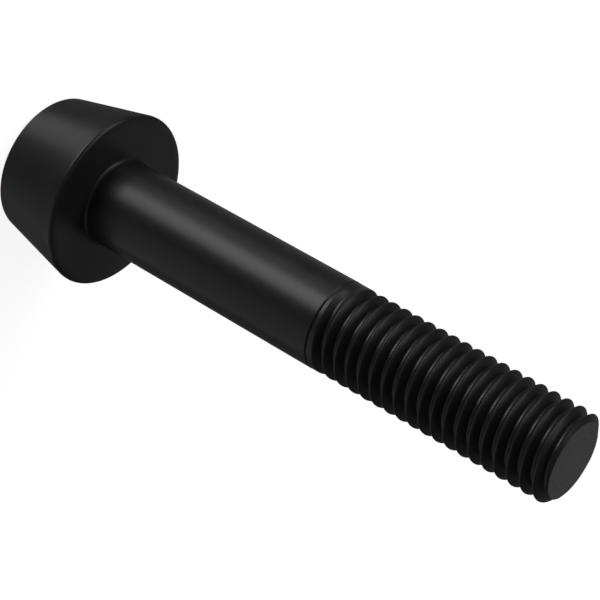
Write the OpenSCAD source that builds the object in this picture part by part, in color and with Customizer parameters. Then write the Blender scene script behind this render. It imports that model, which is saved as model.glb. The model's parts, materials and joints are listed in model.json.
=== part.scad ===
// Socket bolt with a tapered head, a plain shank and a coarse right-hand thread, turned from one piece.
// It stands on the flat end of its head: z = 0 is that end, and its axis runs up +Z to the tip.

/* [Head] */
// Diameter at the rim, beside the bearing face
rim_d = 20.4; // [17:0.1:26]
// Diameter of the flat end
top_d = 16; // [14:0.5:19]
// Height from the flat end to the bearing face
head_h = 10.2; // [8:0.1:14]
// Round on the rim
rim_round = 0.4; // [0.1:0.05:0.8]
// Round on the edge of the flat end
top_round = 0.5; // [0.1:0.05:1]

/* [Socket] */
// Width of the hexagon key across its flats
key_w = 8; // [6:0.5:9]
// Clearance of the key across its flats
key_clearance = 0.05; // [0.02:0.01:0.15]
// Depth of the hexagon's flats
socket_depth = 5; // [4:0.25:6]
// Slope of the socket's conical floor
floor_slope = 15; // [5:1:30]
// Width of the bevel outside the hexagon's corners
mouth_bevel = 0.3; // [0.1:0.05:0.6]

/* [Shank] */
// Diameter of the plain shank
shank_d = 10; // [8:0.25:12]
// Length from the bearing face to the tip
bolt_length = 60; // [45:1:90]
// Fillet between the bearing face and the shank
seat_fillet = 0.4; // [0.2:0.05:0.8]
// Bevel at the end of the shank, where the thread starts
end_bevel = 0.25; // [0.1:0.05:0.4]

/* [Thread] */
// Distance from one crest to the next
pitch = 1.5; // [1:0.25:2]
// Length of the thread, measured from the tip
thread_length = 28.8; // [15:0.1:40]
// How far the crests lie below the shank's surface
crest_drop = 0.03; // [0.01:0.01:0.1]
// Turns in which the groove sinks to its full depth
runout_turns = 0.35; // [0.25:0.05:1]
// Angle round the axis at which the groove starts
start_angle = 180; // [0:5:360]
// Radial width of the bevel at the tip
tip_bevel = 0.85; // [0.3:0.05:1.2]
// Slope of the bevel at the tip, measured from the end face
tip_slope = 30; // [15:5:50]
// Facets in one turn of the thread
turn_facets = 48; // [24:4:60]

/* [Hidden] */
// True curves are drawn finely, and cutters run this far past the faces that they open
$fn = 96;
over = 1;
// Straight steps in each small round
round_steps = 8;

// Heights along the axis
thread_z = head_h + bolt_length - thread_length;
tip_z = head_h + bolt_length;
shank_r = shank_d / 2;

// Hexagon socket
socket_w = key_w + key_clearance;
socket_corner_r = socket_w / 2 / cos(30);
mouth_r = socket_corner_r + mouth_bevel;

// Metric groove: flanks at 60 degrees to each other, an eighth of the pitch left flat on the crest,
// a quarter at the root
crest_r = shank_r - crest_drop;
root_flat = pitch / 4;
groove_w = pitch * 7 / 8;
groove_depth = (groove_w - root_flat) / 2 / tan(30);

// The groove's first column lies just above the start of the thread. Its last turn, where it
// fades again, lies past the tip and is cut away with it.
lead_in = pitch / 40;
groove_z = thread_z + lead_in + groove_w / 2;
full_turns = ceil((tip_z + groove_w / 2 - groove_z) / pitch);
last_column = (full_turns + 1) * turn_facets;
blank_z = groove_z + (full_turns + 1) * pitch + groove_w;
tip_r = crest_r - tip_bevel;

function unit(v) = v / norm(v);
function nearest_turn(angle) = angle - 360 * round(angle / 360);

// Arc that rounds corner b of the path a, b, c
function rounded(a, b, c, r) =
    let (
        u = unit(a - b),
        w = unit(c - b),
        half = acos(u * w) / 2,
        hub = b + unit(u + w) * r / sin(half),
        first = b + u * r / tan(half) - hub,
        last = b + w * r / tan(half) - hub,
        start = atan2(first.y, first.x),
        sweep = nearest_turn(atan2(last.y, last.x) - start)
    )
    [for (k = [0:round_steps])
        let (angle = start + sweep * k / round_steps)
        hub + r * [cos(angle), sin(angle)]];

// Half section of the head and the plain shank
function body_section() =
    let (
        axis_foot = [0, 0],
        top_edge = [top_d / 2, 0],
        rim = [rim_d / 2, head_h],
        seat = [shank_r, head_h],
        shank_end = [shank_r, thread_z]
    )
    concat(
        [axis_foot],
        rounded(axis_foot, top_edge, rim, top_round),
        rounded(top_edge, rim, seat, rim_round),
        rounded(rim, seat, shank_end, seat_fillet),
        [shank_end - [0, end_bevel], shank_end - [end_bevel, 0], [0, thread_z]]
    );

// Hexagon with a bevelled mouth and a shallow conical floor, opening at z = 0
module socket() {
    translate([0, 0, -over])
        cylinder(r = socket_corner_r, h = socket_depth + over, $fn = 6);
    translate([0, 0, socket_depth])
        cylinder(d1 = socket_w, d2 = 0, h = socket_w / 2 * tan(floor_slope));
    translate([0, 0, -over])
        cylinder(r1 = mouth_r + over, r2 = 0, h = mouth_r + over);
}

// Share of the full depth that the groove has at a column of the thread
function ease(t) = let (s = max(0, min(1, t))) s * s * (3 - 2 * s);
function depth_share(column) =
    ease(column / (runout_turns * turn_facets)) * ease((last_column - column) / turn_facets);

function ring_point(r, column, z) =
    let (angle = start_angle + 360 * column / turn_facets)
    [r * cos(angle), r * sin(angle), z];

// The groove's four corners at a column, from its lower edge to its upper edge
function groove_corners(column) =
    let (
        z = groove_z + pitch * column / turn_facets,
        root_r = crest_r - groove_depth * depth_share(column)
    )
    [
        ring_point(crest_r, column, z - groove_w / 2),
        ring_point(root_r, column, z - root_flat / 2),
        ring_point(root_r, column, z + root_flat / 2),
        ring_point(crest_r, column, z + groove_w / 2)
    ];

// Numbers of the points: the foot ring, the crown ring, then each column's groove corners
function foot(column) = column % turn_facets;
function crown(column) = turn_facets + column % turn_facets;
function corner(column, k) = 2 * turn_facets + 4 * column + k;

function fan(loop) = [for (k = [1:len(loop) - 2]) [loop[0], loop[k], loop[k + 1]]];
function flat_list(lists) = [for (list = lists) each list];

// Blank with the whole helical groove in it, one closed surface. Both ends of the groove have no
// depth, so their corners lie in line on the walls that close the blank.
module thread_blank() {
    steps = [0:turn_facets - 1];
    points = concat(
        [for (i = steps) ring_point(crest_r, i, thread_z)],
        [for (i = steps) ring_point(crest_r, i, blank_z)],
        flat_list([for (i = [0:last_column]) groove_corners(i)])
    );
    last_turn = last_column - turn_facets;
    groove = [for (i = [0:last_column - 1], k = [0:2])
        fan([corner(i, k), corner(i, k + 1), corner(i + 1, k + 1), corner(i + 1, k)])];
    crest = [for (i = [0:last_turn - 1])
        fan([corner(i, 3), corner(i + turn_facets, 0), corner(i + turn_facets + 1, 0), corner(i + 1, 3)])];
    low_wall = [for (i = [0:turn_facets - 2])
        fan([foot(i), corner(i, 0), corner(i + 1, 0), foot(i + 1)])];
    low_seam = fan([foot(turn_facets - 1), corner(turn_facets - 1, 0), corner(turn_facets, 0),
        corner(0, 3), corner(0, 2), corner(0, 1), corner(0, 0), foot(0)]);
    high_wall = [for (i = [last_turn + 1:last_column - 1])
        fan([corner(i, 3), crown(i), crown(i + 1), corner(i + 1, 3)])];
    high_seam = fan([corner(last_turn + 1, 3), corner(last_turn, 3), corner(last_column, 0),
        corner(last_column, 1), corner(last_column, 2), corner(last_column, 3),
        crown(last_turn), crown(last_turn + 1)]);
    foot_face = [for (i = steps) foot(i)];
    crown_face = [for (i = steps) crown(turn_facets - 1 - i)];
    polyhedron(points, concat(flat_list(groove), flat_list(crest), flat_list(low_wall), low_seam,
        flat_list(high_wall), high_seam, [foot_face], [crown_face]));
}

// Threaded end, cut off by the end face and the bevel at the tip
module threaded_end() {
    wide_r = crest_r + over;
    intersection() {
        thread_blank();
        rotate_extrude()
            polygon([[0, thread_z - over], [wide_r, thread_z - over],
                [wide_r, tip_z - (wide_r - tip_r) * tan(tip_slope)], [tip_r, tip_z], [0, tip_z]]);
    }
}

module bolt() {
    color([0.11, 0.11, 0.11]) {
        difference() {
            rotate_extrude()
                polygon(body_section());
            socket();
        }
        threaded_end();
    }
}

bolt();
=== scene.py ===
"""Looks of the socket bolt: one turned and threaded piece in satin black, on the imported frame."""
import json
import math

import bmesh
import bpy
from mathutils import Matrix, Vector


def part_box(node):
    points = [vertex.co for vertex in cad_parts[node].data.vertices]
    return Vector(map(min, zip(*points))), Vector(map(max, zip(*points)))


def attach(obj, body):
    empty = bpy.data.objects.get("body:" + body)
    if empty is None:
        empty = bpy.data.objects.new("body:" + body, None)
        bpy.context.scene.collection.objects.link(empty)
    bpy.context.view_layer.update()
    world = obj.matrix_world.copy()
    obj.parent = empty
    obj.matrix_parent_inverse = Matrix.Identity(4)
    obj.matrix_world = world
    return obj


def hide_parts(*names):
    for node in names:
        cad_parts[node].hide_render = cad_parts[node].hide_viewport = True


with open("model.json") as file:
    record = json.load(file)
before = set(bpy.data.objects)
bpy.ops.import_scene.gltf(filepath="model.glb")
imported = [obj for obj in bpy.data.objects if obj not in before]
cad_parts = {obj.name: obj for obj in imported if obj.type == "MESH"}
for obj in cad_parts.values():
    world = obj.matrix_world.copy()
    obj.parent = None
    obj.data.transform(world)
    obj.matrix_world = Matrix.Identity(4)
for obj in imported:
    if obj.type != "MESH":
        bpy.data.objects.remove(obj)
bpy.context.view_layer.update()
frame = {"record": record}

MM = 0.001

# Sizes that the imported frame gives, in millimetres
mounts = {mount["name"]: mount for mount in frame["record"]["mounts"]}
TIP_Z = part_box("bolt")[1].z / MM
SEAT_Z = mounts["seat"]["pos_m"][2] / MM
SHANK_R = mounts["shank"]["dims"]["r_mm"]
CREST_R = mounts["thread"]["dims"]["r_mm"]
THREAD_Z = TIP_Z - mounts["thread"]["dims"]["length_mm"]
SOCKET_DEPTH = mounts["socket"]["dims"]["length_mm"]

# Head, socket and shank, in millimetres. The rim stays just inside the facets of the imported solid.
TOP_R = 8.0
RIM_R = 10.193
TOP_ROUND = 0.5
RIM_ROUND = 0.4
SEAT_FILLET = 0.4
END_BEVEL = 0.25
SOCKET_W = 8.05
MOUTH_BEVEL = 0.3
FLOOR_SLOPE = math.radians(15)

# Thread, in millimetres and turns
PITCH = 1.5
CREST_FLAT = PITCH / 8
ROOT_FLAT = PITCH / 6
CREST_ROUND = 0.16
ROOT_ROUND = 0.07
RUNOUT_TURNS = 0.35
START_ANGLE = math.pi
LEAD_IN = PITCH / 40
FLANK_ANGLE = math.radians(30)
TIP_BEVEL = 0.85
TIP_R = CREST_R - TIP_BEVEL
TIP_SLOPE = math.radians(30)

# Fineness of the mesh: columns round the axis, a multiple of six, and straight steps in a round
COLUMNS = 144
ROUND_STEPS = 6
CORNER_STEPS = 4

# Rings between the rounds on the cone, on the bearing face and on the shank
CONE_RINGS = 6
SEAT_RINGS = 5
SHANK_RINGS = 20

# Edges that turn more than this stay sharp. Narrower faces than a sliver, in metres, are taken out.
SHARP_ANGLE = math.radians(24)
SLIVER = 5e-7

# Finish: turned marks and clouds in the film per metre, the depth of a mark in metres, and the
# part of the noise's range that the film and the roughness are spread over
MARKS_PER_M = 7000.0
MARK_DETAIL = 2.0
CLOUDS_PER_M = 400.0
CLOUD_DETAIL = 4.0
MARK_DEPTH = 3e-6
MARK_STRENGTH = 0.5
NOISE_LOW = 0.3
NOISE_HIGH = 0.7
ROUGH_LOW = 0.32
ROUGH_HIGH = 0.38
DARK_FILM = (0.0105, 0.0105, 0.0105, 1)
PALE_FILM = (0.0135, 0.0135, 0.0135, 1)
FILM_SPECULAR = 0.25

# Studio: levels where 1 is white, distances in metres
WORLD_LEVEL = 0.1
FLOOR_HALF = 3
FLOOR_GREY = 0.4
FLOOR_GLOW = 0.88
LAMP_DISTANCE = 1.5


def rounded(before, corner, after, radius, steps):
    """Points of the arc that rounds a corner of a path."""
    to_before = (Vector(before) - Vector(corner)).normalized()
    to_after = (Vector(after) - Vector(corner)).normalized()
    half = to_before.angle(to_after) / 2
    hub = Vector(corner) + (to_before + to_after).normalized() * radius / math.sin(half)
    spoke = Vector(corner) + to_before * radius / math.tan(half) - hub
    sweep = math.copysign(math.pi - 2 * half, to_after.cross(to_before))
    return [tuple(hub + Matrix.Rotation(sweep * k / steps, 2) @ spoke) for k in range(steps + 1)]


def between(start, end, count):
    """Points that divide a straight line evenly, without its two ends."""
    first = Vector(start)
    return [tuple(first.lerp(Vector(end), k / (count + 1))) for k in range(1, count + 1)]


def turned(radius, angle, z):
    return (radius * math.cos(angle), radius * math.sin(angle), z)


def column_angle(column):
    return START_ANGLE + math.tau * column / COLUMNS


def new_object(name, points, faces):
    """Mesh object with its points in millimetres, all faces turned outwards."""
    mesh = bpy.data.meshes.new(name)
    mesh.from_pydata([Vector(point) * MM for point in points], [], faces)
    shape = bmesh.new()
    shape.from_mesh(mesh)
    bmesh.ops.recalc_face_normals(shape, faces=shape.faces)
    shape.to_mesh(mesh)
    shape.free()
    made = bpy.data.objects.new(name, mesh)
    bpy.context.scene.collection.objects.link(made)
    return made


def skinned(name, foot, rings, crown):
    """Closed skin over rings of points, drawn together to one point at each end."""
    count = len(rings[0])
    points = [foot] + [point for ring in rings for point in ring] + [crown]
    last = len(points) - 1
    faces = []
    for i in range(count):
        j = (i + 1) % count
        faces.append((0, 1 + i, 1 + j))
        for k in range(len(rings) - 1):
            low = 1 + k * count
            high = low + count
            faces.append((low + i, low + j, high + j, high + i))
        top = 1 + (len(rings) - 1) * count
        faces.append((top + i, top + j, last))
    return new_object(name, points, faces)


def lathed(name, section):
    """Solid of revolution from a half section whose two ends lie on the axis."""
    angles = [column_angle(i) for i in range(COLUMNS)]
    rings = [[turned(r, angle, z) for angle in angles] for r, z in section[1:-1]]
    return skinned(name, turned(0, 0, section[0][1]), rings, turned(0, 0, section[-1][1]))


def hexagon_radius(angle):
    """Distance from the axis to the wall of the hexagon socket, with a corner on +X."""
    sector = math.pi / 3
    return SOCKET_W / 2 / math.cos((angle % sector) - sector / 2)


def socket_rings():
    """Rings of the hexagon socket, from its floor out to the mouth."""
    angles = [column_angle(i) for i in range(COLUMNS)]
    flat_r = SOCKET_W / 2
    mouth_r = flat_r / math.cos(math.pi / 6) + MOUTH_BEVEL
    floor = [[turned(flat_r * share, angle, SOCKET_DEPTH + flat_r * (1 - share) * math.tan(FLOOR_SLOPE))
              for angle in angles] for share in (0.25, 0.5, 0.75, 1)]
    wall = [[turned(hexagon_radius(angle), angle,
                    SOCKET_DEPTH + share * (mouth_r - hexagon_radius(angle) - SOCKET_DEPTH))
             for angle in angles] for share in (0, 0.25, 0.5, 0.75, 1)]
    return floor + wall + [[turned(mouth_r, angle, 0) for angle in angles]]


def body_rings():
    """Rings of the head and the plain shank, from the flat end to just inside the thread."""
    overlap = END_BEVEL / 10
    axis_foot = (0, 0)
    top_edge = (TOP_R, 0)
    rim = (RIM_R, SEAT_Z)
    seat = (SHANK_R, SEAT_Z)
    shank_end = (SHANK_R, THREAD_Z - END_BEVEL)
    bevel_end = (SHANK_R - END_BEVEL - overlap, THREAD_Z + overlap)
    top_round = rounded(axis_foot, top_edge, rim, TOP_ROUND, ROUND_STEPS)
    rim_round = rounded(top_edge, rim, seat, RIM_ROUND, ROUND_STEPS)
    fillet = rounded(rim, seat, shank_end, SEAT_FILLET, ROUND_STEPS)
    section = (top_round + between(top_round[-1], rim_round[0], CONE_RINGS) + rim_round
               + between(rim_round[-1], fillet[0], SEAT_RINGS) + fillet
               + between(fillet[-1], shank_end, SHANK_RINGS) + [shank_end, bevel_end])
    angles = [column_angle(i) for i in range(COLUMNS)]
    return [[turned(r, angle, z) for angle in angles] for r, z in section]


def groove_section():
    """Half-open section of the thread's groove as (rise along the axis, depth), with rounded corners."""
    depth = (PITCH - CREST_FLAT - ROOT_FLAT) / 2 / math.tan(FLANK_ANGLE)
    edge = (PITCH - CREST_FLAT) / 2
    root = ROOT_FLAT / 2
    path = [(-PITCH / 2, 0), (-edge, 0), (-root, depth), (root, depth), (edge, 0), (PITCH / 2, 0)]
    rounds = [CREST_ROUND, ROOT_ROUND, ROOT_ROUND, CREST_ROUND]
    section = []
    for k, radius in enumerate(rounds):
        section += rounded(path[k], path[k + 1], path[k + 2], radius, CORNER_STEPS)
    return section


def eased(share):
    share = min(max(share, 0), 1)
    return share * share * (3 - 2 * share)


def thread_blank():
    """Closed blank with the whole helical groove. The groove has no depth at its two ends, so the
    points of its section lie in line there, on the walls that close the blank."""
    section = groove_section()
    points_in = len(section)
    groove_z = THREAD_Z + LEAD_IN - section[0][0]
    full_turns = math.ceil((TIP_Z - section[0][0] - groove_z) / PITCH)
    last_column = (full_turns + 1) * COLUMNS
    last_turn = last_column - COLUMNS
    crown_z = groove_z + (full_turns + 2) * PITCH
    points = [turned(CREST_R, column_angle(i), THREAD_Z) for i in range(COLUMNS)]
    points += [turned(CREST_R, column_angle(i), crown_z) for i in range(COLUMNS)]
    for column in range(last_column + 1):
        share = eased(column / (RUNOUT_TURNS * COLUMNS)) * eased((last_column - column) / COLUMNS)
        centre_z = groove_z + PITCH * column / COLUMNS
        points += [turned(CREST_R - share * depth, column_angle(column), centre_z + rise)
                   for rise, depth in section]

    def foot(column):
        return column % COLUMNS

    def crown(column):
        return COLUMNS + column % COLUMNS

    def wall(column, k):
        return 2 * COLUMNS + points_in * column + k

    top = points_in - 1
    faces = [tuple(range(COLUMNS)), tuple(range(COLUMNS, 2 * COLUMNS))]
    for i in range(last_column):
        faces += [(wall(i, k), wall(i, k + 1), wall(i + 1, k + 1), wall(i + 1, k)) for k in range(top)]
    for i in range(last_turn):
        up = i + COLUMNS
        faces.append((wall(i, top), wall(up, 0), wall(up + 1, 0), wall(i + 1, top)))
    for i in range(COLUMNS - 1):
        faces.append((foot(i), wall(i, 0), wall(i + 1, 0), foot(i + 1)))
    for i in range(last_turn + 1, last_column):
        faces.append((wall(i, top), crown(i), crown(i + 1), wall(i + 1, top)))
    low_seam = [wall(0, k) for k in range(top, -1, -1)]
    high_seam = [wall(last_column, k) for k in range(points_in)]
    faces.append((foot(COLUMNS - 1), wall(COLUMNS - 1, 0), wall(COLUMNS, 0), *low_seam, foot(0)))
    faces.append((wall(last_turn + 1, top), wall(last_turn, top), *high_seam,
                  crown(last_turn), crown(last_turn + 1)))
    return new_object("thread_blank", points, faces)


def tip_envelope():
    """Solid that the thread is cut back to: the end face and the bevel round it."""
    over = 1
    wide_r = CREST_R + over
    bevel_foot = (wide_r, TIP_Z - (wide_r - TIP_R) * math.tan(TIP_SLOPE))
    low_z = THREAD_Z - over
    return lathed("tip_envelope", [(0, low_z), (wide_r, low_z), bevel_foot, (TIP_R, TIP_Z), (0, TIP_Z)])


def combined(target, tool, operation):
    """Joins or cuts one mesh object with another, which is then deleted."""
    modifier = target.modifiers.new(operation, "BOOLEAN")
    modifier.operation = operation
    modifier.solver = "MANIFOLD"
    modifier.object = tool
    depsgraph = bpy.context.evaluated_depsgraph_get()
    mesh = bpy.data.meshes.new_from_object(target.evaluated_get(depsgraph))
    target.modifiers.clear()
    target.data = mesh
    bpy.data.objects.remove(tool)
    return target


def cleaned(target):
    """Takes out the faces without width that the joins leave."""
    shape = bmesh.new()
    shape.from_mesh(target.data)
    bmesh.ops.remove_doubles(shape, verts=shape.verts, dist=SLIVER)
    bmesh.ops.dissolve_degenerate(shape, dist=SLIVER, edges=shape.edges)
    bmesh.ops.triangulate(shape, faces=[face for face in shape.faces if len(face.verts) > 4])
    shape.to_mesh(target.data)
    shape.free()


def bolt_mesh():
    """The whole bolt: head, socket and shank, joined with the thread that is cut back to the tip."""
    rings = socket_rings() + body_rings()
    apex_z = SOCKET_DEPTH + SOCKET_W / 2 * math.tan(FLOOR_SLOPE)
    end_z = rings[-1][0][2]
    body = skinned("socket_bolt", (0, 0, apex_z), rings, (0, 0, end_z))
    thread = combined(thread_blank(), tip_envelope(), "INTERSECT")
    bolt = combined(body, thread, "UNION")
    cleaned(bolt)
    bolt.data.materials.clear()
    bolt.data.shade_smooth()
    bolt.data.set_sharp_from_angle(angle=SHARP_ANGLE)
    return bolt


def linked(tree, kind, inputs, **settings):
    """New node whose inputs are given as plain values or as the sockets that feed them."""
    node = tree.nodes.new(kind)
    for name, value in settings.items():
        setattr(node, name, value)
    for name, value in inputs.items():
        if isinstance(value, bpy.types.NodeSocket):
            tree.links.new(value, node.inputs[name])
        else:
            node.inputs[name].default_value = value
    return node


def satin_black_oxide():
    """Black oxide on turned steel: fine marks run round the axis, under a slightly uneven oiled film."""
    material = bpy.data.materials.new("satin_black_oxide")
    material.use_nodes = True
    tree = material.node_tree
    shader = tree.nodes["Principled BSDF"]
    place = linked(tree, "ShaderNodeTexCoord", {}).outputs["Object"]
    across = linked(tree, "ShaderNodeVectorMath", {0: place, 1: (1, 1, 0)}, operation="MULTIPLY").outputs[0]
    radius = linked(tree, "ShaderNodeVectorMath", {0: across}, operation="LENGTH").outputs["Value"]
    height = linked(tree, "ShaderNodeSeparateXYZ", {0: place}).outputs["Z"]
    lathe = linked(tree, "ShaderNodeCombineXYZ", {"X": radius, "Y": height}).outputs[0]
    turning = {"Vector": lathe, "Scale": MARKS_PER_M, "Detail": MARK_DETAIL}
    marks = linked(tree, "ShaderNodeTexNoise", turning, noise_dimensions="2D").outputs["Fac"]
    clouds = {"Vector": place, "Scale": CLOUDS_PER_M, "Detail": CLOUD_DETAIL}
    film = linked(tree, "ShaderNodeTexNoise", clouds)
    colour = linked(tree, "ShaderNodeValToRGB", {"Fac": film.outputs["Fac"]})
    dark, pale = colour.color_ramp.elements
    dark.position = NOISE_LOW
    dark.color = DARK_FILM
    pale.position = NOISE_HIGH
    pale.color = PALE_FILM
    limits = {"From Min": NOISE_LOW, "From Max": NOISE_HIGH, "To Min": ROUGH_LOW, "To Max": ROUGH_HIGH}
    rough = linked(tree, "ShaderNodeMapRange", {"Value": marks, **limits}).outputs["Result"]
    relief = {"Height": marks, "Strength": MARK_STRENGTH, "Distance": MARK_DEPTH}
    bump = linked(tree, "ShaderNodeBump", relief).outputs["Normal"]
    tree.links.new(colour.outputs["Color"], shader.inputs["Base Color"])
    tree.links.new(rough, shader.inputs["Roughness"])
    tree.links.new(bump, shader.inputs["Normal"])
    shader.inputs["Specular IOR Level"].default_value = FILM_SPECULAR
    return material


def softbox(name, direction, roll, half_width, half_height, level):
    """Soft panel, far off in a direction from the bolt. Its two half sizes are angles in degrees as seen
    from the bolt, and its level is its brightness, where 1 is white paper in plain light."""
    lamp = bpy.data.lights.new(name, "AREA")
    lamp.shape = "RECTANGLE"
    lamp.size = 2 * LAMP_DISTANCE * math.tan(math.radians(half_width))
    lamp.size_y = 2 * LAMP_DISTANCE * math.tan(math.radians(half_height))
    lamp.energy = level * math.pi * lamp.size * lamp.size_y
    thing = bpy.data.objects.new(name, lamp)
    bpy.context.scene.collection.objects.link(thing)
    away = Vector(direction).normalized()
    thing.location = Vector((0, 0, TIP_Z / 2 * MM)) + away * LAMP_DISTANCE
    thing.rotation_euler = away.to_track_quat("Z", "Y").to_euler()
    thing.rotation_euler.rotate_axis("Z", math.radians(roll))


def make_camera():
    """Camera of the photograph: it looks down on the tip, rolled so that the bolt lies aslant."""
    camera = bpy.data.objects.new("camera", bpy.data.cameras.new("camera"))
    bpy.context.scene.collection.objects.link(camera)
    tilt_down = math.radians(28.73)
    roll = math.radians(119.57)
    place = Vector((-0.48, -171.3, SEAT_Z + 119.8)) * MM
    turn = Matrix.Rotation(math.pi / 2 - tilt_down, 4, "X") @ Matrix.Rotation(roll, 4, "Z")
    camera.matrix_world = Matrix.Translation(place) @ turn
    camera.data.sensor_width = 36
    camera.data.lens = 113.9
    camera.data.clip_start = 0.01
    bpy.context.scene.camera = camera


def make_world():
    """Even grey surroundings of a studio."""
    world = bpy.data.worlds.new("surroundings")
    bpy.context.scene.world = world
    world.use_nodes = True
    background = world.node_tree.nodes["Background"]
    background.inputs["Color"].default_value = (1, 1, 1, 1)
    background.inputs["Strength"].default_value = WORLD_LEVEL


def make_floor():
    """White floor that keeps the bolt's shadow. The lamps that the photo shows in the shank stand below
    it, so it neither hides them nor lights the bolt."""
    mesh = bpy.data.meshes.new("floor")
    corners = [(x * FLOOR_HALF, y * FLOOR_HALF, 0) for x, y in ((-1, -1), (1, -1), (1, 1), (-1, 1))]
    mesh.from_pydata(corners, [], [(0, 1, 2, 3)])
    floor = bpy.data.objects.new("floor", mesh)
    bpy.context.scene.collection.objects.link(floor)
    material = bpy.data.materials.new("pale_floor")
    material.use_nodes = True
    shader = material.node_tree.nodes["Principled BSDF"]
    shader.inputs["Base Color"].default_value = (FLOOR_GREY, FLOOR_GREY, FLOOR_GREY, 1)
    shader.inputs["Roughness"].default_value = 1
    shader.inputs["Specular IOR Level"].default_value = 0
    shader.inputs["Emission Color"].default_value = (1, 1, 1, 1)
    shader.inputs["Emission Strength"].default_value = FLOOR_GLOW
    mesh.materials.append(material)
    floor.visible_glossy = False
    floor.visible_diffuse = False
    floor.visible_shadow = False


bpy.context.scene.view_settings.view_transform = "Standard"
bolt = bolt_mesh()
bolt.data.materials.append(satin_black_oxide())
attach(bolt, "root")
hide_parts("bolt")
make_camera()
make_world()
make_floor()

# Lamps: direction from the bolt, roll, half width and half height in degrees, level
softbox("key", (-0.41, -0.81, -0.42), 0, 15, 13, 5.1)
softbox("key_strip", (-0.50, -0.48, -0.72), -24, 13, 30, 1.4)
softbox("key_shoulder", (-0.80, -0.43, -0.42), 0, 18, 12, 0.85)
softbox("side", (-0.76, -0.14, 0.63), 12, 13, 38, 2.4)
softbox("left_fill", (0.92, -0.29, -0.26), 0, 34, 41, 0.36)
softbox("rear", (-0.08, 0.92, 0.37), 0, 14, 14, 0.26)
softbox("rear_low", (-0.40, 0.83, -0.40), 0, 22, 14, 0.12)
